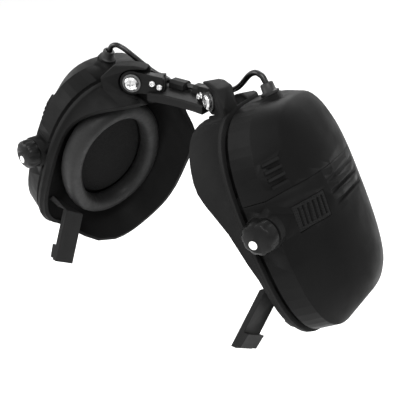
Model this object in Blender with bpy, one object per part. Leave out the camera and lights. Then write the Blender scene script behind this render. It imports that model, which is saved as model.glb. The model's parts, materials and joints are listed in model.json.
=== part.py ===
"""Electronic earmuff hearing protector: two tilting cups on a short headband.

Lengths are in millimetres and are scaled to metres when a piece is placed.
World frame: X to the wearer's right, Y to the back, Z up; the origin is the
middle of the headband's underside. Each cup is modelled once, in the right
cup's own frame (x away from the head, y to the back, z up, origin on the plane
between frame and shell), and mirrored for the left cup.
"""

import math

import bmesh
import bpy
from mathutils import Matrix, Vector

MM = 0.001
GAP = 0.3                       # clearance between touching pieces

# Cup placement
CUP_OFFSET = Vector((64.0, 0.0, -37.5))
CUP_TILT = math.radians(27.2)   # top leans towards the head's mid-plane
CUP_TOE = math.radians(7.6)     # outer face turns towards the back

# Cup outline, shared by frame, baffle and shell
CUP_HALF_WIDTH = 41.2
CUP_HALF_HEIGHT = 58.8
CUP_CENTRE = (1.1, -6.9)
CUP_POWER = 2.9
OUTLINE_STEPS = 56

# Shell
SHELL_WALL = 2.4
SHELL_SIDE_X = 14.5             # end of the straight side wall
SHELL_SIDE_INSET = 1.0          # draft of the side wall
SHELL_CREASE_X = 24.2           # edge of the outer face
SHELL_TOP_X = 31.8              # crown of the outer face
FACE_HALF_HEIGHT = 53.0
FACE_CENTRE_Z = -6.0
FACE_POWER = 2.75
FACE_REAR_Y = 39.0
FACE_FRONT_Y = -22.1            # front edge of the outer face at z = 0
FACE_FRONT_SLOPE = 0.17         # it runs forwards as it rises
SPLIT_Z = 12.0                  # joint line between upper and lower shell
MOUTH_INSET = 1.5               # shadow groove where the shell meets the frame

GLAND_SEAT_Z = 51.5             # flat on the shell's top for the cable gland

# Frame
FRAME_WEB = 3.0
FRAME_WALL = 2.4
FRAME_LIP = 1.0                 # ring stands proud of the skirt
FRAME_RING_DEPTH = 5.0
RIM_LOW = 4.8                   # depth of the skirt below the cheek
RIM_CHEEK = {"right": 20.0, "left": 4.8}   # in front of the ear
RIM_TOP = 22.0                  # over the ear
RIM_BACK = 35.0                 # behind the ear
RIM_BOTTOM = 31.0               # under the ear

# Ear cushion and foam
CUSHION_TURN = math.radians(22.0)
CUSHION_CENTRE = (1.2, -4.8)
CUSHION_HALF = (28.4, 44.0)     # middle line of the cushion's tube
CUSHION_TUBE = 5.6
CUSHION_DEPTH = 13.5
FOAM_HALF = (22.9, 37.6)

# Tilt pivot, in the world frame
PIVOT = Vector((27.5, -6.0, 9.5))
PIVOT_YAW = math.radians(30.0)  # pivot axis points forwards and inwards
ARM_THICKNESS = 5.0
ARM_RADIUS = 6.5
ARM_REACH = 17.0

# Headband
BAND_HALF_LENGTH = 18.5
BAND_FRONT_Y = -4.0
BAND_BACK_Y = 14.6
BAND_THICKNESS = 4.5
COVER_INNER_X = 3.0
COVER_OUTER_X = 13.2
COVER_Y = 9.8                   # line of the joining cable
COVER_CABLE_Z = 6.7
CABLE_DIAMETER = 3.2
CABLE_POINT_SPACING = 4.0

# Volume knob
KNOB_RADIUS = 8.3
KNOB_LENGTH = 6.8
KNOB_X = 9.5
KNOB_Z = -1.0
KNOB_SEAT_Y = -42.3
KNOB_FLUTES = 10

# Colours: plastics, rubbers, foam, metals
BLACK_PLASTIC = ((0.022, 0.022, 0.023), 0.55, 0.0)
SOFT_BLACK = ((0.030, 0.030, 0.031), 0.70, 0.0)
GREY_LEATHERETTE = ((0.16, 0.16, 0.16), 0.60, 0.0)
DARK_FOAM = ((0.060, 0.060, 0.062), 0.95, 0.0)
CABLE_BLACK = ((0.012, 0.012, 0.012), 0.20, 0.0)
STEEL = ((0.75, 0.75, 0.76), 0.22, 1.0)
BOARD_GREEN = ((0.03, 0.14, 0.06), 0.50, 0.0)
BATTERY_WRAP = ((0.20, 0.20, 0.22), 0.40, 0.0)
CONTROL_GREY = ((0.10, 0.10, 0.11), 0.45, 0.0)


# ---------------------------------------------------------------- outlines

def signed_power(value, exponent):
    return math.copysign(abs(value) ** exponent, value)


def oval(half_y, half_z, centre=CUP_CENTRE, power=CUP_POWER, turn=0.0):
    """Superellipse in the cup's y-z plane, from the back round over the top."""
    points = []
    for step in range(OUTLINE_STEPS):
        angle = math.tau * (step + 0.5) / OUTLINE_STEPS
        across = half_y * signed_power(math.cos(angle), 2 / power)
        along = half_z * signed_power(math.sin(angle), 2 / power)
        y = centre[0] + across * math.cos(turn) - along * math.sin(turn)
        z = centre[1] + across * math.sin(turn) + along * math.cos(turn)
        points.append((y, z))
    return points


def cup_oval(inset=0.0):
    return oval(CUP_HALF_WIDTH - inset, CUP_HALF_HEIGHT - inset)


def face_oval(inset=0.0):
    """Edge of the outer face: its front edge slants, so the facet below widens."""
    points = []
    for y, z in oval(1.0, FACE_HALF_HEIGHT - inset, (0.0, FACE_CENTRE_Z), FACE_POWER):
        front = FACE_FRONT_Y - FACE_FRONT_SLOPE * z
        middle = (FACE_REAR_Y + front) / 2
        half = (FACE_REAR_Y - front) / 2 - inset
        points.append((middle + half * y, z))
    return points


def section(x, outline):
    return [Vector((x, y, z)) for y, z in outline]


# ------------------------------------------------------------- solid makers

def mesh_object(name, vertices, faces):
    mesh = bpy.data.meshes.new(name)
    mesh.from_pydata([tuple(v) for v in vertices], [], faces)
    work = bmesh.new()
    work.from_mesh(mesh)
    bmesh.ops.remove_doubles(work, verts=work.verts, dist=1e-4)
    bmesh.ops.recalc_face_normals(work, faces=work.faces)
    work.to_mesh(mesh)
    work.free()
    piece = bpy.data.objects.new(name, mesh)
    bpy.context.scene.collection.objects.link(piece)
    return piece


def loft(name, rings, closed=False):
    """Skin equal-length rings; flat end caps, or a closed loop of rings."""
    size = len(rings[0])
    vertices = [v for ring in rings for v in ring]
    faces = []
    last = len(rings) if closed else len(rings) - 1
    for row in range(last):
        here = row * size
        there = ((row + 1) % len(rings)) * size
        for k in range(size):
            after = (k + 1) % size
            faces.append((here + k, here + after, there + after, there + k))
    if not closed:
        faces.append(tuple(range(size)))
        faces.append(tuple(range(len(vertices) - size, len(vertices))))
    return mesh_object(name, vertices, faces)


def axis_frame(origin, axis, side_hint=Vector((0, 0, 1))):
    """Matrix whose local Z is the axis and whose local X is near the hint."""
    along = Vector(axis).normalized()
    hint = Vector(side_hint)
    if abs(along.dot(hint.normalized())) > 0.99:
        hint = Vector((0, 1, 0))
    across = (hint - along * hint.dot(along)).normalized()
    other = along.cross(across)
    frame = Matrix((across, other, along)).transposed().to_4x4()
    frame.translation = Vector(origin)
    return frame


def lathe(name, profile, origin, axis, steps=40, wave=None):
    """Solid of revolution; profile is (radius, distance along the axis)."""
    frame = axis_frame(origin, axis)
    rings = []
    for radius, distance in profile:
        ring = []
        for step in range(steps):
            angle = math.tau * step / steps
            reach = radius + (wave(angle, radius, distance) if wave else 0.0)
            local = Vector((reach * math.cos(angle), reach * math.sin(angle), distance))
            ring.append(frame @ local)
        rings.append(ring)
    return loft(name, rings)


def rod(name, radius, start, end, steps=32):
    start = Vector(start)
    axis = Vector(end) - start
    return lathe(name, [(radius, 0.0), (radius, axis.length)], start, axis, steps)


def tube(name, outer, inner, start, end, steps=32):
    """Straight pipe with open ends."""
    start = Vector(start)
    axis = Vector(end) - start
    frame = axis_frame(start, axis)
    rings = []
    for radius, distance in ((outer, 0), (outer, axis.length), (inner, axis.length), (inner, 0)):
        angles = [math.tau * step / steps for step in range(steps)]
        rings.append([frame @ Vector((radius * math.cos(a), radius * math.sin(a), distance))
                      for a in angles])
    return loft(name, rings, closed=True)


def box(name, low, high, frame=Matrix.Identity(4)):
    corners = [(low[0], low[1]), (high[0], low[1]), (high[0], high[1]), (low[0], high[1])]
    rings = [[frame @ Vector((x, y, z)) for x, y in corners] for z in (low[2], high[2])]
    return loft(name, rings)


def prism(name, outline, low, high, frame=Matrix.Identity(4)):
    """Extrude an x-y outline between two z levels of the frame."""
    rings = [[frame @ Vector((x, y, z)) for x, y in outline] for z in (low, high)]
    return loft(name, rings)


def arc(centre, radius, start, end, steps):
    """Points of an arc in degrees, ends included."""
    points = []
    for step in range(steps + 1):
        angle = math.radians(start + (end - start) * step / steps)
        points.append((centre[0] + radius * math.cos(angle),
                       centre[1] + radius * math.sin(angle)))
    return points


# ----------------------------------------------------------------- booleans

def bake(piece):
    depsgraph = bpy.context.evaluated_depsgraph_get()
    mesh = bpy.data.meshes.new_from_object(piece.evaluated_get(depsgraph))
    piece.modifiers.clear()
    piece.data = mesh


def combine(piece, tool, operation):
    modifier = piece.modifiers.new(operation, "BOOLEAN")
    modifier.operation = operation
    modifier.solver = "EXACT"
    modifier.object = tool
    bake(piece)
    bpy.data.objects.remove(tool)
    return piece


def join(piece, *tools):
    for tool in tools:
        combine(piece, tool, "UNION")
    return piece


def cut(piece, *tools):
    for tool in tools:
        combine(piece, tool, "DIFFERENCE")
    return piece


def bevel(piece, width, segments=2, angle=35.0):
    modifier = piece.modifiers.new("Bevel", "BEVEL")
    modifier.width = width
    modifier.segments = segments
    modifier.limit_method = "ANGLE"
    modifier.angle_limit = math.radians(angle)
    bake(piece)
    return piece


# ---------------------------------------------------------------- placement

def material(name, look):
    colour, roughness, metallic = look
    surface = bpy.data.materials.new(name)
    surface.use_nodes = True
    shader = surface.node_tree.nodes["Principled BSDF"]
    shader.inputs["Base Color"].default_value = (*colour, 1.0)
    shader.inputs["Roughness"].default_value = roughness
    shader.inputs["Metallic"].default_value = metallic
    return surface


def side_sign(side):
    return 1.0 if side == "right" else -1.0


def world_matrix(side):
    """World millimetres of a right-hand world drawing, mirrored for the left."""
    return Matrix.Diagonal((side_sign(side), 1.0, 1.0, 1.0))


def cup_matrix(side):
    lean = Matrix.Rotation(-CUP_TILT, 4, "Y") @ Matrix.Rotation(CUP_TOE, 4, "Z")
    return world_matrix(side) @ Matrix.Translation(CUP_OFFSET) @ lean


def pivot_matrix():
    """Local X runs from the pivot to the headband, local Z along the pivot axis."""
    inward = Vector((-math.cos(PIVOT_YAW), math.sin(PIVOT_YAW), 0.0))
    forward = Vector((-math.sin(PIVOT_YAW), -math.cos(PIVOT_YAW), 0.0))
    up = Vector((0.0, 0.0, 1.0))
    frame = Matrix((inward, up, forward)).transposed().to_4x4()
    frame.translation = PIVOT
    return frame


def place(piece, matrix, look, name, parent, smooth_angle=35.0):
    """Move a finished solid to the world frame, in metres, about its parent."""
    mesh = piece.data
    mesh.transform(matrix)
    if matrix.determinant() < 0:
        mesh.flip_normals()
    mesh.transform(Matrix.Scale(MM, 4) @ Matrix.Translation(-parent.location / MM))
    mesh.shade_smooth()
    mesh.set_sharp_from_angle(angle=math.radians(smooth_angle))
    mesh.materials.clear()
    mesh.materials.append(material(name, look))
    mesh.name = name
    piece.name = name
    piece.parent = parent
    return piece


def marker(name, location):
    """Empty at a joint's centre, the parent of what turns there."""
    empty = bpy.data.objects.new(name, None)
    empty.location = Vector(location) * MM
    empty.hide_render = True
    bpy.context.scene.collection.objects.link(empty)
    return empty


# ---------------------------------------------------------------- cup shell

def shell_sections(inset=0.0):
    """Outer skin from the mouth to the crown; inset gives the inner skin."""
    drop = 0.9 * inset
    return [
        section(GAP, cup_oval(MOUTH_INSET + inset)),
        section(2.2, cup_oval(MOUTH_INSET + inset)),
        section(3.0, cup_oval(inset)),
        section(SHELL_SIDE_X, cup_oval(SHELL_SIDE_INSET + inset)),
        section(SHELL_CREASE_X - 1.2 - drop, face_oval(-0.6 + inset)),
        section(SHELL_CREASE_X - drop, face_oval(0.8 + inset)),
        section(SHELL_CREASE_X + 3.2 - drop, face_oval(6.0 + inset)),
        section(SHELL_CREASE_X + 6.0 - drop, face_oval(14.0 + inset)),
        section(SHELL_TOP_X - drop, face_oval(22.0 + inset)),
    ]


def shell_body(name):
    outer = shell_sections()
    inner = shell_sections(SHELL_WALL)
    body = loft(name, outer)
    hollow = loft(name + "_hollow", inner)
    open_mouth = loft(name + "_mouth", [section(-5.0, cup_oval(MOUTH_INSET + SHELL_WALL)),
                                        section(1.0, cup_oval(MOUTH_INSET + SHELL_WALL))])
    return cut(body, join(hollow, open_mouth))


def half_space(name, low_z, high_z):
    return box(name, (-20, -80, low_z), (60, 80, high_z))


def oval_front(z, half_y, half_z, centre, power):
    """Front-most y of a superellipse at height z."""
    share = abs((z - centre[1]) / half_z) ** power
    return centre[0] - half_y * (1.0 - share) ** (1.0 / power)


def facet_frame(z):
    """Frame on the slanted front facet: X along the slope, Z out of the face."""
    foot_y = oval_front(z, CUP_HALF_WIDTH - SHELL_SIDE_INSET, CUP_HALF_HEIGHT - SHELL_SIDE_INSET,
                        CUP_CENTRE, CUP_POWER)
    front = FACE_FRONT_Y - FACE_FRONT_SLOPE * z
    edge_y = oval_front(z, (FACE_REAR_Y - front) / 2, FACE_HALF_HEIGHT,
                        ((FACE_REAR_Y + front) / 2, FACE_CENTRE_Z), FACE_POWER)
    foot = Vector((SHELL_SIDE_X, foot_y, z))
    slope = (Vector((SHELL_CREASE_X, edge_y, z)) - foot).normalized()
    outward = Vector((slope.y, -slope.x, 0.0))
    frame = Matrix((slope, outward.cross(slope), outward)).transposed().to_4x4()
    frame.translation = foot
    return frame


def make_shell_upper(side, parent):
    shell = shell_body("shell_upper")
    combine(shell, half_space("keep", SPLIT_Z + GAP / 2, 90), "INTERSECT")
    boss = rod("gland_boss", 5.2, (15.5, 0, 46.5), (15.5, 0, GLAND_SEAT_Z))
    join(shell, boss)
    for rib in range(4):
        z = SPLIT_Z + 4.0 + 3.6 * rib
        start = 5.0 - 0.6 * rib
        bar = box("rib", (start, -0.7, -1.0), (start + 9.0, 0.7, 1.1), facet_frame(z))
        join(shell, bar)
    return place(shell, cup_matrix(side), BLACK_PLASTIC, f"shell_upper_{side}", parent)


def grille_window(name, margin):
    return box(name, (16.5 + margin, -29.0 + margin, -9.0 + margin),
               (40.0, -12.0 - margin, 4.0 - margin))


def make_shell_lower(side, parent):
    shell = shell_body("shell_lower")
    combine(shell, half_space("keep", -90, SPLIT_Z - GAP / 2), "INTERSECT")
    seat = rod("knob_boss", 8.8, (KNOB_X, -37.5, KNOB_Z), (KNOB_X, KNOB_SEAT_Y, KNOB_Z), 40)
    join(shell, seat)
    shaft_hole = rod("shaft_hole", 3.6, (KNOB_X, -30, KNOB_Z), (KNOB_X, -50, KNOB_Z))
    cut(shell, shaft_hole, grille_window("window", 0.0))
    for slot in range(3):
        z = 6.0 - 5.8 * slot
        cut(shell, box("vent", (30.2, -8.0, z - 1.2), (40.0, 25.0, z + 1.2)))
    return place(shell, cup_matrix(side), BLACK_PLASTIC, f"shell_lower_{side}", parent)


def make_mic_grille(side, parent):
    """Insert cut from the shell's own skin, so it follows the crease."""
    slats = grille_window("slats", GAP)
    for slot in range(6):
        y = -26.4 + 2.3 * slot
        cut(slats, box("slit", (10.0, y, -7.1), (50.0, y + 1.15, 2.1)))
    grille = combine(shell_body("mic_grille"), slats, "INTERSECT")
    return place(grille, cup_matrix(side), SOFT_BLACK, f"mic_grille_{side}", parent)


# -------------------------------------------------------------------- frame

def ramp(value, low, high):
    share = min(max((value - low) / (high - low), 0.0), 1.0)
    return share * share * (3.0 - 2.0 * share)


def rim_depth(angle, side):
    """Depth of the skirt round the ear: low under the cheek, deepest behind the ear."""
    turn = math.degrees(angle) % 360.0
    front = RIM_LOW + (RIM_CHEEK[side] - RIM_LOW) * ramp(-turn, -194.0, -152.0)
    if turn < 180.0:
        depth = front + (RIM_TOP - front) * ramp(-turn, -158.0, -88.0)
        return depth + (RIM_BACK - RIM_TOP) * ramp(-turn, -40.0, -20.0)
    depth = front + (RIM_BOTTOM - RIM_LOW) * ramp(turn, 242.0, 276.0)
    return depth + (RIM_BACK - RIM_BOTTOM) * ramp(turn, 300.0, 360.0)


def rim_section(inset, side):
    ring = []
    for step, (y, z) in enumerate(cup_oval(inset)):
        angle = math.tau * (step + 0.5) / OUTLINE_STEPS
        ring.append(Vector((-rim_depth(angle, side), y, z)))
    return ring


def web_opening(margin=0.0):
    return oval(17.5 + margin, 26.0 + margin, CUSHION_CENTRE, 2.2, CUSHION_TURN)


def make_frame(side, parent):
    """Ring with its skirt, web and the hood that houses the tilt pivot."""
    wall = FRAME_WALL
    rings = [
        section(0.0, web_opening()),
        section(0.0, cup_oval(-FRAME_LIP)),
        section(-FRAME_RING_DEPTH + 3.0, cup_oval(-FRAME_LIP)),
        section(-FRAME_RING_DEPTH + 2.2, cup_oval(0.0)),
        rim_section(0.4, side),
        rim_section(wall + 0.4, side),
        section(-FRAME_WEB, cup_oval(wall + 0.8)),
        section(-FRAME_WEB, web_opening()),
    ]
    tub = loft("frame", rings, closed=True)
    tub.data.transform(cup_matrix("right"))
    pivot = pivot_matrix()
    hood = prism("hood", [(-17.0, -9.5), (4.5, -9.5), (8.5, 0.0), (9.5, 5.8), (8.2, 8.0),
                          (2.0, 9.4), (-9.0, 9.4), (-17.0, 3.0)], -6.2, 3.4, pivot)
    bevel(hood, 1.0, 2)
    fairing = prism("fairing", [(-14.0, -12.0), (19.0, -12.0), (18.0, -9.0), (15.6, -5.6),
                                (11.0, -3.0), (4.0, 0.0), (-7.0, 0.0), (-14.0, -4.0)],
                    -24.0, -15.0, pivot)
    bevel(fairing, 1.2, 2)
    keep_out = loft("ear_space", [section(-60.0, cup_oval(wall + 0.8)),
                                  section(-FRAME_WEB, cup_oval(wall + 0.8))])
    keep_out.data.transform(cup_matrix("right"))
    shell_room = loft("shell_room", [section(0.0, cup_oval(-12.0)), section(40.0, cup_oval(-12.0))])
    shell_room.data.transform(cup_matrix("right"))
    cut(join(hood, fairing), keep_out, shell_room)
    join(tub, hood)
    recess = ARM_RADIUS + 0.8
    pocket_outline = arc((0, 0), recess, 90, 270, 16) + [(60.0, -60.0), (60.0, recess + 0.3)]
    half = ARM_THICKNESS / 2
    pocket = prism("pocket", pocket_outline, -half - GAP, 40.0, pivot)
    screw_hole = rod("screw_hole", 1.6, pivot @ Vector((0, 0, -8.0)), pivot @ Vector((0, 0, 0)))
    cut(tub, pocket, screw_hole)
    return place(tub, world_matrix(side), BLACK_PLASTIC, f"frame_{side}", parent)


def make_baffle(side, parent):
    inset = SHELL_WALL + MOUTH_INSET + GAP
    plate = loft("baffle", [section(GAP, cup_oval(inset)), section(2.3, cup_oval(inset))])
    cut(plate, rod("speaker_hole", 17.5, (-1, 0, 0), (6, 0, 0), 48))
    return place(plate, cup_matrix(side), BLACK_PLASTIC, f"baffle_{side}", parent)


def make_cushion(side, parent):
    rings = []
    steps = 12
    middle_x = -FRAME_WEB - GAP - CUSHION_DEPTH / 2
    for step in range(steps):
        angle = math.tau * (step + 0.5) / steps
        radial = CUSHION_TUBE * signed_power(math.cos(angle), 2 / 2.5)
        x = middle_x + CUSHION_DEPTH / 2 * signed_power(math.sin(angle), 2 / 2.5)
        outline = oval(CUSHION_HALF[0] + radial, CUSHION_HALF[1] + radial,
                       CUSHION_CENTRE, 2.15, CUSHION_TURN)
        rings.append(section(x, outline))
    cushion = loft("cushion", rings, closed=True)
    return place(cushion, cup_matrix(side), GREY_LEATHERETTE, f"cushion_{side}", parent)


def make_foam(side, parent):
    outline = oval(*FOAM_HALF, CUSHION_CENTRE, 2.15, CUSHION_TURN)
    low = -FRAME_WEB - GAP
    foam = loft("foam", [section(low, outline), section(low - 2.0, outline)])
    return place(foam, cup_matrix(side), DARK_FOAM, f"foam_disc_{side}", parent)


def make_strap_hook(side, parent):
    """Tab that stands on the web and hangs down to an outward hook."""
    to_cup = cup_matrix("right").inverted()
    top_front = Vector((69.5, -30.5, -72.3))
    tip_front = Vector((64.6, -48.6, -97.6))
    width = Vector((1.0, 12.6, -9.4))
    outward = Vector((3.0, 0.0, 0.2))
    foot = Vector((-FRAME_WEB - GAP, -31.6, -30.6))
    foot_width = Vector((0.0, 8.6, -12.2))
    foot_out = Vector((0.0, -2.4, -1.7))

    def plate(front, across, thick):
        return [front, front + across, front + across + thick, front + thick]

    foot_ring = [cup_matrix("right") @ v for v in plate(foot, foot_width, foot_out)]
    knee = top_front.lerp(tip_front, 0.06)
    rings = [foot_ring, plate(top_front, width, outward), plate(knee, width, outward),
             plate(tip_front, width, outward)]
    hook = loft("strap_hook", rings)
    lip_start = top_front.lerp(tip_front, 0.72) + outward * 0.9
    lip_end = top_front.lerp(tip_front, 0.97) + outward * 0.9
    lip = loft("lip", [plate(lip_start, width, outward * 1.0), plate(lip_end, width, outward * 0.8)])
    join(hook, lip)
    bevel(hook, 0.7, 1, 50.0)
    hook.data.transform(to_cup)
    return place(hook, cup_matrix(side), BLACK_PLASTIC, f"strap_hook_{side}", parent)


# -------------------------------------------------------------- electronics

def make_speaker(side, parent):
    profile = [(11.0, 2.6 + 3.0), (16.5, 2.6), (21.0, 2.6), (21.0, 4.4), (17.5, 5.0),
               (12.5, 9.0), (10.5, 9.0), (10.5, 11.5)]
    speaker = lathe("speaker", profile, (0, 0, 0), (1, 0, 0), 40)
    return place(speaker, cup_matrix(side), CONTROL_GREY, f"speaker_{side}", parent)


def make_circuit_board(side, parent):
    board = box("board", (12.7, -20.0, -34.0), (14.3, 24.0, 9.0))
    for low_y, low_z, size in ((-14.0, -28.0, 9.0), (4.0, -12.0, 12.0), (-12.0, -6.0, 7.0)):
        chip = box("chip", (11.9, low_y, low_z), (12.9, low_y + size, low_z + size))
        join(board, chip)
    return place(board, cup_matrix(side), BOARD_GREEN, f"circuit_board_{side}", parent)


def make_volume_control(side, parent):
    body = box("control", (5.0, -33.2, KNOB_Z - 5.5), (13.6, -27.5, KNOB_Z + 5.5))
    cut(body, rod("bore", 3.3, (KNOB_X, -29.5, KNOB_Z), (KNOB_X, -50, KNOB_Z)))
    return place(body, cup_matrix(side), CONTROL_GREY, f"volume_control_{side}", parent)


def make_microphone(side, parent):
    capsule = rod("capsule", 3.8, (17.2, -15.6, -2.5), (19.8, -17.1, -2.5))
    return place(capsule, cup_matrix(side), STEEL, f"microphone_{side}", parent)


def make_batteries(side, parent):
    for name, y in (("battery_a", 8.0), ("battery_b", 19.4)):
        cell = lathe("cell", [(5.2, 0.0), (5.2, 43.2), (1.9, 43.2), (1.9, 44.4)],
                     (21.2, y, -44.0), (0, 0, 1), 28)
        place(cell, cup_matrix(side), BATTERY_WRAP, f"{name}_{side}", parent)
    tray = box("tray", (14.6, 1.0, -46.4), (23.2, 26.4, 2.8))
    cut(tray, box("bay", (15.7, 2.4, -44.4), (30.0, 25.0, 0.8)))
    place(tray, cup_matrix(side), CONTROL_GREY, f"battery_tray_{side}", parent)


# --------------------------------------------------------------------- knob

def knob_wave(angle, radius, distance):
    if radius < KNOB_RADIUS - 1.5 or distance < 1.0:
        return 0.0
    return -0.55 * (0.5 - 0.5 * math.cos(KNOB_FLUTES * angle)) ** 3


def make_knob(side, parent):
    start = KNOB_SEAT_Y - GAP
    top = KNOB_LENGTH
    profile = [(KNOB_RADIUS - 0.4, 0.0), (KNOB_RADIUS, 0.5), (KNOB_RADIUS, 1.2), (KNOB_RADIUS, top - 2.4),
               (KNOB_RADIUS - 0.8, top - 0.9), (KNOB_RADIUS - 2.4, top), (3.0, top)]
    knob = lathe("knob", profile, (KNOB_X, start, KNOB_Z), (0, -1, 0), 60, knob_wave)
    cut(knob, rod("bore", 3.0 + GAP, (KNOB_X, start + 2, KNOB_Z), (KNOB_X, start - 5.0, KNOB_Z)))
    place(knob, cup_matrix(side), SOFT_BLACK, f"volume_knob_{side}", parent)
    shaft = rod("shaft", 3.0, (KNOB_X, -29.9, KNOB_Z), (KNOB_X, start - 4.6, KNOB_Z))
    place(shaft, cup_matrix(side), CONTROL_GREY, f"knob_shaft_{side}", parent)


# ------------------------------------------------------------ cable and arm

def make_gland(side, parent):
    profile = [(1.9, 0.0), (4.6, 0.0), (4.6, 1.1), (3.4, 1.7), (3.2, 5.0), (2.7, 5.6), (1.9, 5.6)]
    frame = axis_frame((15.5, 0, GLAND_SEAT_Z + GAP), (0, 0, 1))
    steps = 32
    rings = []
    for radius, height in profile:
        angles = [math.tau * step / steps for step in range(steps)]
        rings.append([frame @ Vector((radius * math.cos(a), radius * math.sin(a), height))
                      for a in angles])
    gland = loft("gland", rings, closed=True)
    return place(gland, cup_matrix(side), SOFT_BLACK, f"cable_gland_{side}", parent)


def smooth_route(route, spacing):
    """Evenly spaced points on a Catmull-Rom curve through the route."""
    fine = []
    padded = [route[0] * 2 - route[1]] + route + [route[-1] * 2 - route[-2]]
    for i in range(1, len(padded) - 2):
        p0, p1, p2, p3 = padded[i - 1:i + 3]
        for step in range(20):
            t = step / 20
            fine.append(0.5 * (p1 * 2 + (p2 - p0) * t + (p0 * 2 - p1 * 5 + p2 * 4 - p3) * t * t
                               + (p1 * 3 - p0 - p2 * 3 + p3) * t ** 3))
    fine.append(route[-1])
    length = sum((b - a).length for a, b in zip(fine, fine[1:]))
    count = max(2, round(length / spacing))
    points = [fine[0]]
    travelled = 0.0
    for a, b in zip(fine, fine[1:]):
        travelled += (b - a).length
        if travelled >= length * len(points) / count and len(points) < count:
            points.append(b)
    points.append(fine[-1])
    return points


def cable(name, route, diameter, look, parent):
    curve = bpy.data.curves.new(name, "CURVE")
    curve.dimensions = "3D"
    curve.bevel_depth = diameter / 2 * MM
    curve.bevel_resolution = 2
    curve.use_fill_caps = True
    points = smooth_route(route, CABLE_POINT_SPACING)
    spline = curve.splines.new("POLY")
    spline.points.add(len(points) - 1)
    for target, point in zip(spline.points, points):
        target.co = (*(point * MM - parent.location), 1.0)
    curve.materials.append(material(name, look))
    lead = bpy.data.objects.new(name, curve)
    lead.parent = parent
    bpy.context.scene.collection.objects.link(lead)


def cable_route(side):
    """From the gland's bore, over in a tight bend and back to the cable cover."""
    gland = [cup_matrix("right") @ Vector((15.5, 0, z)) for z in (53.4, 58.2)]
    free = [Vector((49.2, 2.2, 23.8)), Vector((45.0, 2.6, 24.6)), Vector((40.0, 4.4, 21.4)),
            Vector((34.6, 7.4, 16.0)), Vector((29.0, 9.9, 11.2)), Vector((23.4, 10.9, 8.6)),
            Vector((18.0, 10.6, 7.2))]
    end = [Vector((COVER_OUTER_X + 1.6 * GAP, COVER_Y + 0.3, COVER_CABLE_Z))]
    return [world_matrix(side) @ v for v in gland + free + end]


def make_arm(side, parent):
    """Stamped plate: round eye on the pivot, straight tail on the headband."""
    outline = arc((0, 0), ARM_RADIUS, 60, 292, 22) + [(9.0, -6.2), (ARM_REACH, -6.2)]
    outline += arc((ARM_REACH - 1.5, 1.5), 1.5, 0, 90, 3)
    half = ARM_THICKNESS / 2
    pivot = pivot_matrix()
    arm = prism("arm", outline, -half, half, pivot)
    cut(arm, rod("eye", 2.3, pivot @ Vector((0, 0, -9)), pivot @ Vector((0, 0, 9))))
    for reach, height in ARM_SCREWS:
        cut(arm, rod("hole", 1.2, pivot @ Vector((reach, height, -9)),
                     pivot @ Vector((reach, height, 9))))
    return place(arm, world_matrix(side), BLACK_PLASTIC, f"hinge_arm_{side}", parent)


ARM_SCREWS = ((11.0, -0.4), (14.8, -2.4))


def screw(name, at, head, head_height, shank, length, side, parent):
    """Pan-head screw along the pivot axis; at is on the face it clamps."""
    profile = [(shank, -length), (shank, 0.0), (head, 0.0), (head, head_height * 0.45),
               (head * 0.78, head_height * 0.85), (head * 0.35, head_height)]
    frame = pivot_matrix()
    start = frame @ Vector((at[0], at[1], at[2]))
    axis = frame.to_3x3() @ Vector((0, 0, 1))
    piece = lathe("screw", profile, start, axis, 32)
    slot = box("drive", (at[0] - head * 0.55, at[1] - 0.3, at[2] + head_height * 0.55),
               (at[0] + head * 0.55, at[1] + 0.3, at[2] + head_height * 2), frame)
    cross = box("drive", (at[0] - 0.3, at[1] - head * 0.55, at[2] + head_height * 0.55),
                (at[0] + 0.3, at[1] + head * 0.55, at[2] + head_height * 2), frame)
    cut(piece, slot, cross)
    place(piece, world_matrix(side), STEEL, f"{name}_{side}", parent)


def make_pivot_screw(side, parent):
    face = ARM_THICKNESS / 2
    washer = tube("washer", 4.9, 1.9, pivot_matrix() @ Vector((0, 0, face + GAP)),
                  pivot_matrix() @ Vector((0, 0, face + GAP + 0.8)))
    place(washer, world_matrix(side), STEEL, f"pivot_washer_{side}", parent)
    screw("pivot_screw", (0, 0, face + 0.8 + 2 * GAP), 3.7, 2.2, 1.3, 9.6, side, parent)


def make_arm_screws(side, parent):
    face = ARM_THICKNESS / 2 + GAP
    for letter, (reach, height) in zip("ab", ARM_SCREWS):
        screw(f"arm_screw_{letter}", (reach, height, face), 1.7, 1.2, 0.9, 7.5, side, parent)


# ----------------------------------------------------------------- headband

def band_bosses():
    """Blocks behind the arms, and slots in the strap for the arms' tails."""
    frame = pivot_matrix()
    half = ARM_THICKNESS / 2
    boss = prism("boss", [(10.2, -9.4), (17.3, -9.4), (17.3, 2.6), (10.2, 2.6)],
                 -half - GAP - 3.2, -half - GAP, frame)
    slot = prism("slot", [(6.0, -6.2 - GAP), (ARM_REACH + GAP, -6.2 - GAP),
                          (ARM_REACH + GAP, 12.0), (6.0, 12.0)],
                 -half - GAP, half + GAP, frame)
    return boss, slot


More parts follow.
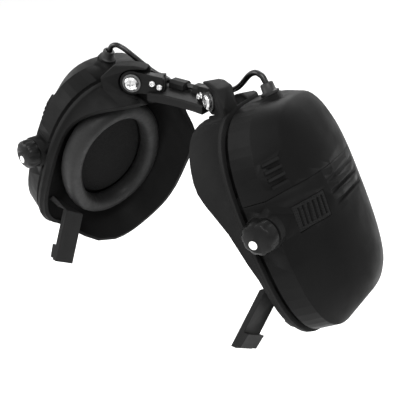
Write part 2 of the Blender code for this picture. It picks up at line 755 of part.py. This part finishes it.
def make_headband(parent):
    """Wide strap with a flat underside; its ends carry the hinge arms."""
    width_points = ((BAND_FRONT_Y, 0.0), (BAND_BACK_Y, 0.0), (BAND_BACK_Y, 3.4),
                    (BAND_BACK_Y - 1.1, BAND_THICKNESS), (BAND_FRONT_Y + 0.8, BAND_THICKNESS),
                    (BAND_FRONT_Y, BAND_THICKNESS - 0.8))
    rings = []
    steps = 12
    for step in range(steps + 1):
        x = BAND_HALF_LENGTH * (2 * step / steps - 1)
        bow = 1.6 * (x / BAND_HALF_LENGTH) ** 2
        rings.append([Vector((x, y - (bow if y < 0 else 0.0), z)) for y, z in width_points])
    band = loft("headband", rings)
    for side in ("right", "left"):
        boss, slot = band_bosses()
        for tool in (boss, slot):
            tool.data.transform(world_matrix(side))
            if side == "left":
                tool.data.flip_normals()
        join(band, boss)
        cut(band, slot)
        for reach, height in ARM_SCREWS:
            frame = world_matrix(side) @ pivot_matrix()
            cut(band, rod("pilot", 1.2, frame @ Vector((reach, height, -6.8)),
                          frame @ Vector((reach, height, 0))))
    place(band, world_matrix("right"), BLACK_PLASTIC, "headband", parent)


def make_cable_cover(side, parent):
    """Low bar that leads the cable along the headband."""
    base = BAND_THICKNESS + GAP
    outline = ((-3.6, base), (3.6, base), (3.6, 7.4), (2.4, 8.8), (-1.4, 8.8), (-3.3, 7.6))
    rings = [[Vector((x, COVER_Y + shift + y, z)) for y, z in outline]
             for x, shift in ((COVER_INNER_X, -0.3), (COVER_OUTER_X, 0.3))]
    bar = loft("cover", rings)
    return place(bar, world_matrix(side), BLACK_PLASTIC, f"cable_cover_{side}", parent)


def make_link_cable(parent):
    reach = COVER_INNER_X - 0.3 - GAP
    route = [Vector((x, COVER_Y, COVER_CABLE_Z)) for x in (-reach, -reach / 2, 0.0, reach / 2, reach)]
    cable("link_cable", route, CABLE_DIAMETER, CABLE_BLACK, parent)


# ----------------------------------------------------------------- assembly

def build_cup(side):
    pivot = marker(f"cup_tilt_{side}", world_matrix(side) @ PIVOT)
    knob_at = cup_matrix(side) @ Vector((KNOB_X, KNOB_SEAT_Y, KNOB_Z))
    knob_axis = marker(f"knob_axis_{side}", knob_at)
    for make in (make_frame, make_baffle, make_cushion, make_foam, make_strap_hook,
                 make_shell_upper, make_shell_lower, make_mic_grille, make_speaker,
                 make_circuit_board, make_volume_control, make_microphone,
                 make_gland, make_pivot_screw):
        make(side, pivot)
    make_knob(side, knob_axis)
    cable(f"cable_{side}", cable_route(side), CABLE_DIAMETER, CABLE_BLACK, pivot)


def build_band():
    root = marker("headband_root", (0, 0, 0))
    make_headband(root)
    make_link_cable(root)
    for side in ("right", "left"):
        make_arm(side, root)
        make_arm_screws(side, root)
        make_cable_cover(side, root)


def clear_scene():
    for old in list(bpy.data.objects):
        bpy.data.objects.remove(old)


def main():
    clear_scene()
    build_band()
    build_cup("right")
    build_cup("left")
    make_batteries("right", bpy.data.objects["cup_tilt_right"])


main()
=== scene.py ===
"""Looks of the electronic earmuff: studio, materials, sewn ear cushions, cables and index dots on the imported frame."""

import json

import bmesh
import bpy
import numpy as np
from mathutils import Matrix, Vector


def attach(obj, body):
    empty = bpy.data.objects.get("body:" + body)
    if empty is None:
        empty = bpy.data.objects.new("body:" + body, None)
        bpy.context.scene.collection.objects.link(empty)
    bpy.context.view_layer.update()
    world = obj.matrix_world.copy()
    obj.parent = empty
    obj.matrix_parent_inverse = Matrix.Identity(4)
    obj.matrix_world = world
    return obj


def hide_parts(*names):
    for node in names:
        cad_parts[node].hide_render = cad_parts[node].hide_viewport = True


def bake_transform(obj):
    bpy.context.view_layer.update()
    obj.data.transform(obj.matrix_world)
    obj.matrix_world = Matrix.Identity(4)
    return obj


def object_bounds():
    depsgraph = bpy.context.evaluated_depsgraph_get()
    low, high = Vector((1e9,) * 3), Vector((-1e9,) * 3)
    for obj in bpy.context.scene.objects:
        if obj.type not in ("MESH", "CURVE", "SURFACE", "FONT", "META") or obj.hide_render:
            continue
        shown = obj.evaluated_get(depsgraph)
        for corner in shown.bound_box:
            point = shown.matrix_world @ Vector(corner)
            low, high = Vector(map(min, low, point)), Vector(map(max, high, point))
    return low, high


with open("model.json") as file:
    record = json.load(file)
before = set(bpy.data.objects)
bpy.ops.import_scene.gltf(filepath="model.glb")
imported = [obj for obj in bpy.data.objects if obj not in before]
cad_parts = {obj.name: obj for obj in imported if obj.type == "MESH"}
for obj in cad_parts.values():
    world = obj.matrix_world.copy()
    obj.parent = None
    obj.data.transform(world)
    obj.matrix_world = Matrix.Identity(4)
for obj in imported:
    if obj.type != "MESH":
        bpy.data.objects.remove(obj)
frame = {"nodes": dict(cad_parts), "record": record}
cad_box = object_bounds()

SIDES = ("left", "right")
MM = 0.001

# studio
CAMERA_AT = (0.2110, -0.2478, 0.1257)
CAMERA_RIGHT = (0.7904, 0.6112, -0.0415)
CAMERA_UP = (-0.2727, 0.4117, 0.8695)
CAMERA_BACK = (0.5486, -0.6759, 0.4921)
CAMERA_LENS = 59.1
SENSOR = 36.0
FLOOR_DROP = 0.30
FLOOR_HALF = 6.0
WORLD_STRENGTH = 1.0

# surfaces
MERGE_DISTANCE = 0.01 * MM
GRAIN_DEPTH = 0.16
SHARP_ANGLE = np.radians(17.0)
OWN_PIECES = ("cushion_", "cable_left", "cable_right")
BODY_OF = {node: body for body, nodes in frame["record"]["behaviour"]["bodies"].items() for node in nodes}

# cushion
VOXEL = 1.3 * MM
SMOOTHINGS = 4
SIM_FRAMES = 20
SIM_PRESSURE = 4.0
SIM_CAP = 0.7 * MM
SIM_SHRINK = 0.3 * MM

# index dot on each knob
DOT_RADIUS = 2.1 * MM
DOT_RISE = 0.15 * MM
DOT_OFFSET = (-1.2 * MM, -2.6 * MM)
DOT_RINGS = 3
DOT_SIDES = 28
DOT_RAY = 30.0 * MM


# ---------------------------------------------------------------- materials

class Nodes:
    """A short way to add and join shader nodes of one material."""

    def __init__(self, name):
        self.material = bpy.data.materials.new(name)
        self.material.use_nodes = True
        self.tree = self.material.node_tree
        self.shader = self.tree.nodes["Principled BSDF"]
        self.place = self.add("ShaderNodeTexCoord").outputs["Object"]

    def add(self, kind, **values):
        node = self.tree.nodes.new(kind)
        for key, value in values.items():
            if hasattr(node, key):
                setattr(node, key, value)
            else:
                node.inputs[key.replace("_", " ")].default_value = value
        return node

    def link(self, out, into):
        self.tree.links.new(out, into)

    def noise(self, scale, detail=3.0):
        node = self.add("ShaderNodeTexNoise", Scale=scale, Detail=detail)
        self.link(self.place, node.inputs["Vector"])
        return node.outputs["Fac"]

    def spread(self, value, low, high, start=0.3, stop=0.7):
        node = self.add("ShaderNodeMapRange")
        self.link(value, node.inputs["Value"])
        for key, number in (("From Min", start), ("From Max", stop), ("To Min", low), ("To Max", high)):
            node.inputs[key].default_value = number
        return node.outputs["Result"]

    def mix(self, fac, one, two):
        node = self.add("ShaderNodeMix", data_type="RGBA")
        self.link(fac, node.inputs[0])
        for socket, colour in ((node.inputs[6], one), (node.inputs[7], two)):
            if isinstance(colour, tuple):
                socket.default_value = (*colour, 1.0)
            else:
                self.link(colour, socket)
        return node.outputs[2]

    def bump(self, height, strength, distance, normal=None):
        node = self.add("ShaderNodeBump")
        node.inputs["Strength"].default_value = strength
        node.inputs["Distance"].default_value = distance
        self.link(height, node.inputs["Height"])
        if normal is not None:
            self.link(normal, node.inputs["Normal"])
        return node.outputs["Normal"]

    def soft_edges(self, radius):
        node = self.add("ShaderNodeBevel", samples=4)
        node.inputs["Radius"].default_value = radius
        return node.outputs["Normal"]

    def wear(self, start, stop):
        node = self.add("ShaderNodeNewGeometry")
        return self.spread(node.outputs["Pointiness"], 0.0, 1.0, start, stop)


def grey(level, warm=0.0):
    return (level * (1.0 + warm), level, level * (1.0 - warm))


def plastic(name, level, rough, grain=900.0, depth=GRAIN_DEPTH, edge=0.6, worn=1.9, shine=0.1):
    """Moulded plastic with spark-eroded grain, uneven gloss and lighter rubbed edges."""
    n = Nodes(name)
    tone = n.mix(n.spread(n.noise(55.0), 0.0, 1.0), grey(level * 0.88), grey(level * 1.12, 0.01))
    rubbed = n.mix(n.wear(0.53, 0.66), tone, grey(min(level * worn, 0.9)))
    n.link(rubbed, n.shader.inputs["Base Color"])
    n.link(n.spread(n.noise(120.0, 5.0), rough - 0.06, rough + 0.08), n.shader.inputs["Roughness"])
    fine = n.bump(n.noise(grain * 2.0, 2.0), depth, 0.12 * MM, n.soft_edges(edge * MM))
    n.link(n.bump(n.noise(grain * 0.45, 2.0), depth * 0.7, 0.2 * MM, fine), n.shader.inputs["Normal"])
    n.shader.inputs["Specular IOR Level"].default_value = shine
    return n.material


def metal(name, level, rough, brushed=2600.0):
    """Turned and plated steel with faint tool marks and dull patches."""
    n = Nodes(name)
    n.shader.inputs["Metallic"].default_value = 1.0
    tone = n.mix(n.spread(n.noise(260.0), 0.0, 1.0), grey(level * 0.8), grey(level))
    n.link(tone, n.shader.inputs["Base Color"])
    n.link(n.spread(n.noise(700.0, 4.0), rough * 0.7, rough * 1.4), n.shader.inputs["Roughness"])
    n.link(n.bump(n.noise(brushed), 0.15, 0.05 * MM, n.soft_edges(0.25 * MM)), n.shader.inputs["Normal"])
    return n.material


def rubber(name, level, rough):
    """Extruded cable jacket: glossy, with slight waviness and dust."""
    n = Nodes(name)
    dust = n.spread(n.noise(420.0, 6.0), 0.0, 0.35, 0.5, 0.75)
    n.link(n.mix(dust, grey(level), grey(level * 3.0)), n.shader.inputs["Base Color"])
    n.link(n.spread(n.noise(160.0), rough * 0.8, rough * 1.5), n.shader.inputs["Roughness"])
    n.link(n.bump(n.noise(500.0), 0.1, 0.1 * MM), n.shader.inputs["Normal"])
    n.shader.inputs["Specular IOR Level"].default_value = 0.35
    return n.material


def leatherette(name, level):
    """Soft synthetic leather: cell-shaped grain, fine creases and a low sheen."""
    n = Nodes(name)
    cells = n.add("ShaderNodeTexVoronoi", Scale=1300.0, feature="DISTANCE_TO_EDGE")
    n.link(n.place, cells.inputs["Vector"])
    tone = n.mix(n.spread(n.noise(90.0, 4.0), 0.0, 1.0), grey(level * 0.85), grey(level * 1.12))
    creased = n.mix(n.spread(cells.outputs["Distance"], 0.0, 1.0, 0.0, 0.12), grey(level * 0.62), tone)
    n.link(creased, n.shader.inputs["Base Color"])
    n.link(n.spread(n.noise(300.0, 4.0), 0.42, 0.62), n.shader.inputs["Roughness"])
    folds = n.bump(n.noise(95.0, 4.0), 0.35, 0.9 * MM)
    n.link(n.bump(cells.outputs["Distance"], 0.3, 0.18 * MM, folds), n.shader.inputs["Normal"])
    n.shader.inputs["Specular IOR Level"].default_value = 0.15
    return n.material


def foam(name, level):
    """Open-cell acoustic foam: pits of two sizes on a matt face."""
    n = Nodes(name)
    pits = n.add("ShaderNodeTexVoronoi", Scale=1500.0)
    n.link(n.place, pits.inputs["Vector"])
    tone = n.mix(n.spread(pits.outputs["Distance"], 0.0, 1.0, 0.1, 0.7), grey(level * 0.5), grey(level * 1.2))
    n.link(tone, n.shader.inputs["Base Color"])
    n.link(n.spread(n.noise(800.0), 0.85, 1.0), n.shader.inputs["Roughness"])
    coarse = n.bump(n.noise(320.0, 5.0), 0.4, 0.4 * MM)
    n.link(n.bump(pits.outputs["Distance"], 0.7, 0.5 * MM, coarse), n.shader.inputs["Normal"])
    n.shader.inputs["Specular IOR Level"].default_value = 0.05
    return n.material


def grille(name, level):
    """Woven wind screen behind a moulded grille: crossed threads as bands in two directions."""
    n = Nodes(name)
    heights = []
    for axis in ("Y", "Z"):
        band = n.add("ShaderNodeTexWave", Scale=260.0, bands_direction=axis)
        n.link(n.place, band.inputs["Vector"])
        heights.append(band.outputs["Fac"])
    both = n.add("ShaderNodeMath", operation="MAXIMUM")
    n.link(heights[0], both.inputs[0])
    n.link(heights[1], both.inputs[1])
    n.link(n.mix(both.outputs[0], grey(level * 0.45), grey(level * 1.3)), n.shader.inputs["Base Color"])
    n.link(n.spread(n.noise(500.0), 0.55, 0.75), n.shader.inputs["Roughness"])
    n.link(n.bump(both.outputs[0], 0.6, 0.3 * MM, n.soft_edges(0.3 * MM)), n.shader.inputs["Normal"])
    n.shader.inputs["Specular IOR Level"].default_value = 0.1
    return n.material


def printed(name, colour, rough):
    """Painted or printed surface with light scuffs."""
    n = Nodes(name)
    scuff = n.spread(n.noise(600.0, 6.0), 0.0, 0.5, 0.55, 0.8)
    n.link(n.mix(scuff, colour, tuple(c * 0.7 for c in colour)), n.shader.inputs["Base Color"])
    n.link(n.spread(n.noise(350.0), rough * 0.8, rough * 1.2), n.shader.inputs["Roughness"])
    n.link(n.bump(n.noise(900.0), 0.12, 0.1 * MM), n.shader.inputs["Normal"])
    return n.material


LOOKS = {
    "shell": plastic("shell_black", 0.0036, 0.46, worn=2.6, shine=0.065),
    "frame": plastic("frame_black", 0.0055, 0.60, worn=3.0, shine=0.065),
    "band": plastic("band_black", 0.0060, 0.42, edge=0.8, shine=0.09),
    "hook": plastic("hook_grey", 0.0065, 0.52, edge=0.5, shine=0.08),
    "knob": plastic("knob_black", 0.0035, 0.30, grain=1400.0, worn=5.0, shine=0.13),
    "inner": plastic("inner_black", 0.0060, 0.7, grain=600.0),
    "screw": metal("bright_steel", 0.75, 0.24),
    "washer": metal("dull_steel", 0.16, 0.45),
    "cable": rubber("cable_jacket", 0.003, 0.24),
    "gland": rubber("gland_rubber", 0.004, 0.45),
    "cushion": leatherette("cushion_leatherette", 0.020),
    "foam": foam("ear_foam", 0.012),
    "grille": grille("wind_screen", 0.006),
    "board": printed("board_green", (0.02, 0.11, 0.05), 0.4),
    "cell": printed("cell_sleeve", (0.16, 0.17, 0.18), 0.35),
    "dot": printed("index_white", (0.82, 0.82, 0.80), 0.4),
}
FINISH = {
    "shell_upper": "shell", "shell_lower": "shell", "frame": "frame", "headband": "band",
    "hinge_arm": "band", "cable_cover": "band", "strap_hook": "hook", "volume_knob": "knob",
    "knob_shaft": "screw", "baffle": "inner", "battery_tray": "inner", "volume_control": "inner",
    "speaker": "washer", "microphone": "washer", "arm_screw_a": "screw", "arm_screw_b": "screw",
    "pivot_screw": "screw", "pivot_washer": "washer", "cable_gland": "gland", "link_cable": "cable",
    "cable": "cable", "cushion": "cushion", "foam_disc": "foam", "mic_grille": "grille",
    "circuit_board": "board", "battery_a": "cell", "battery_b": "cell",
}


def paint(obj, look):
    obj.data.materials.clear()
    obj.data.materials.append(LOOKS[look])


def look_of(name):
    return FINISH.get(name.removesuffix("_left").removesuffix("_right"), "inner")


def paint_frame():
    for name, node in frame["nodes"].items():
        paint(node, look_of(name))


# ---------------------------------------------------------------- pieces

def copy_of(node_name, name):
    """A free mesh with the node's shape, its split vertices joined again."""
    bm = bmesh.new()
    bm.from_mesh(frame["nodes"][node_name].data)
    bmesh.ops.remove_doubles(bm, verts=bm.verts, dist=MERGE_DISTANCE)
    mesh = bpy.data.meshes.new(name)
    bm.to_mesh(mesh)
    bm.free()
    obj = bpy.data.objects.new(name, mesh)
    bpy.context.collection.objects.link(obj)
    return obj


def shade_smooth(obj):
    obj.data.polygons.foreach_set("use_smooth", [True] * len(obj.data.polygons))


def make_skin(name):
    """The node's own surface with its round walls shaded smooth and its real edges kept sharp."""
    obj = copy_of(name, name + "_skin")
    shade_smooth(obj)
    obj.data.set_sharp_from_angle(angle=SHARP_ANGLE)
    paint(obj, look_of(name))
    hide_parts(name)
    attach(obj, BODY_OF[name])


def settle(obj):
    """The object's modifiers become its mesh."""
    depsgraph = bpy.context.evaluated_depsgraph_get()
    mesh = bpy.data.meshes.new_from_object(obj.evaluated_get(depsgraph))
    obj.modifiers.clear()
    old = obj.data
    obj.data = mesh
    bpy.data.meshes.remove(old)


def subdivide(obj):
    """One level of subdivision, kept as the mesh and shaded smooth."""
    finer = obj.modifiers.new("fine", "SUBSURF")
    finer.levels = 1
    finer.render_levels = 1
    settle(obj)
    shade_smooth(obj)


def points_of(obj):
    return np.array([v.co for v in obj.data.vertices], float)


def set_points(obj, points):
    obj.data.vertices.foreach_set("co", points.astype(np.float32).ravel())
    obj.data.update()


def inflate(obj):
    """The cover swells over its filling, at most SIM_CAP from where it started."""
    before = points_of(obj)
    cloth = obj.modifiers.new("cloth", "CLOTH")
    cloth.settings.use_pressure = True
    cloth.settings.uniform_pressure_force = SIM_PRESSURE
    cloth.settings.effector_weights.gravity = 0.0
    cloth.settings.quality = 4
    cloth.collision_settings.use_collision = False
    scene = bpy.context.scene
    for number in range(1, SIM_FRAMES + 1):
        scene.frame_set(number)
    settle(obj)
    scene.frame_set(1)
    move = points_of(obj) - before
    size = np.linalg.norm(move, axis=1, keepdims=True)
    set_points(obj, before + move * np.minimum(1.0, SIM_CAP / np.maximum(size, 1e-9)))


def make_cushion(side):
    node = "cushion_" + side
    obj = copy_of(node, "ear_cushion_" + side)
    remesh = obj.modifiers.new("remesh", "REMESH")
    remesh.mode = "VOXEL"
    remesh.voxel_size = VOXEL
    smooth = obj.modifiers.new("smooth", "SMOOTH")
    smooth.iterations = SMOOTHINGS
    settle(obj)
    normals = np.array([v.normal for v in obj.data.vertices], float)
    set_points(obj, points_of(obj) - normals * SIM_SHRINK)
    inflate(obj)
    subdivide(obj)
    paint(obj, "cushion")
    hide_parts(node)
    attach(obj, "cup_" + side)


def make_cable(side):
    """The cable between the headband's cover and the cup's gland, made finer and shaded smooth."""
    node = "cable_" + side
    obj = copy_of(node, "flex_" + side)
    subdivide(obj)
    paint(obj, "cable")
    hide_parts(node)
    points = points_of(obj)
    inner = points[np.abs(points[:, 0]).argmin()]
    outer = points[np.abs(points[:, 0]).argmax()]
    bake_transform(obj)


def knob_line(side):
    """A point on the knob's axis and the axis, pointing out of the cup."""
    joint = next(j for j in frame["record"]["behaviour"]["joints"] if j["name"] == "volume_turn_" + side)
    axis = Vector(joint["axis"]).normalized()
    if axis.y > 0:
        axis = -axis
    return Vector(joint["pos_m"]), axis


def make_dot(side):
    """A printed index dot that lies on the knob's domed end."""
    at, axis = knob_line(side)
    across = Vector((1, 0, 0)) - axis * axis.x
    across.normalize()
    up = across.cross(axis)
    if up.z < 0:
        up = -up
    knob = bpy.data.objects["volume_knob_" + side + "_skin"]
    bm = bmesh.new()
    rings = [[bm.verts.new((0, 0, 0))]]
    for ring in range(1, DOT_RINGS + 1):
        turns = np.linspace(0, 2 * np.pi, DOT_SIDES, endpoint=False)
        radius = DOT_RADIUS * ring / DOT_RINGS
        rings.append([bm.verts.new((radius * np.cos(a), radius * np.sin(a), 0)) for a in turns])
    for k in range(DOT_SIDES):
        bm.faces.new((rings[0][0], rings[1][k], rings[1][(k + 1) % DOT_SIDES]))
        for one, two in zip(rings[1:], rings[2:]):
            bm.faces.new((one[k], two[k], two[(k + 1) % DOT_SIDES], one[(k + 1) % DOT_SIDES]))
    centre = at + across * DOT_OFFSET[0] + up * DOT_OFFSET[1]
    for vert in bm.verts:
        flat = centre + across * vert.co.x + up * vert.co.y
        start = flat + axis * DOT_RAY
        hit, where, _normal, _face = knob.ray_cast(start, -axis)
        vert.co = (where if hit else flat) + axis * DOT_RISE
    bmesh.ops.recalc_face_normals(bm, faces=bm.faces)
    mesh = bpy.data.meshes.new("index_dot_" + side)
    bm.to_mesh(mesh)
    bm.free()
    obj = bpy.data.objects.new("index_dot_" + side, mesh)
    bpy.context.collection.objects.link(obj)
    shade_smooth(obj)
    paint(obj, "dot")
    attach(obj, "knob_" + side)


# ---------------------------------------------------------------- studio

def make_camera():
    data = bpy.data.cameras.new("camera")
    data.lens = CAMERA_LENS
    data.sensor_width = SENSOR
    obj = bpy.data.objects.new("camera", data)
    bpy.context.collection.objects.link(obj)
    turn = Matrix((CAMERA_RIGHT, CAMERA_UP, CAMERA_BACK)).transposed().to_4x4()
    turn.translation = Vector(CAMERA_AT)
    obj.matrix_world = turn
    bpy.context.scene.camera = obj


def make_light(name, at, aim, size, power):
    data = bpy.data.lights.new(name, "AREA")
    data.shape = "DISK"
    data.size = size
    data.energy = power
    obj = bpy.data.objects.new(name, data)
    bpy.context.collection.objects.link(obj)
    obj.location = at
    obj.rotation_euler = (Vector(aim) - Vector(at)).to_track_quat("-Z", "Y").to_euler()


def make_studio():
    world = bpy.data.worlds.new("studio")
    world.use_nodes = True
    world.node_tree.nodes["Background"].inputs["Color"].default_value = (1, 1, 1, 1)
    world.node_tree.nodes["Background"].inputs["Strength"].default_value = WORLD_STRENGTH
    bpy.context.scene.world = world
    bpy.context.scene.view_settings.view_transform = "Standard"
    middle = (0.0, 0.0, -0.05)
    make_light("key", (0.5, -0.7, 1.1), middle, 0.9, 16.0)
    make_light("fill", (-0.9, -0.6, 0.5), middle, 0.8, 7.0)
    make_light("rim", (-0.3, 0.9, 0.7), middle, 0.8, 8.0)
    bpy.ops.mesh.primitive_plane_add(size=2 * FLOOR_HALF)
    floor = bpy.context.active_object
    floor.name = "floor"
    floor.location.z = cad_box[0][2] - FLOOR_DROP
    n = Nodes("floor_white")
    n.link(n.mix(n.spread(n.noise(2.0), 0.0, 1.0), grey(0.93), grey(0.95)), n.shader.inputs["Base Color"])
    n.shader.inputs["Roughness"].default_value = 0.9
    floor.data.materials.append(n.material)


make_camera()
make_studio()
paint_frame()
for node_name in sorted(frame["nodes"]):
    if not node_name.startswith(OWN_PIECES):
        make_skin(node_name)
for side_name in SIDES:
    make_cushion(side_name)
    make_cable(side_name)
    make_dot(side_name)
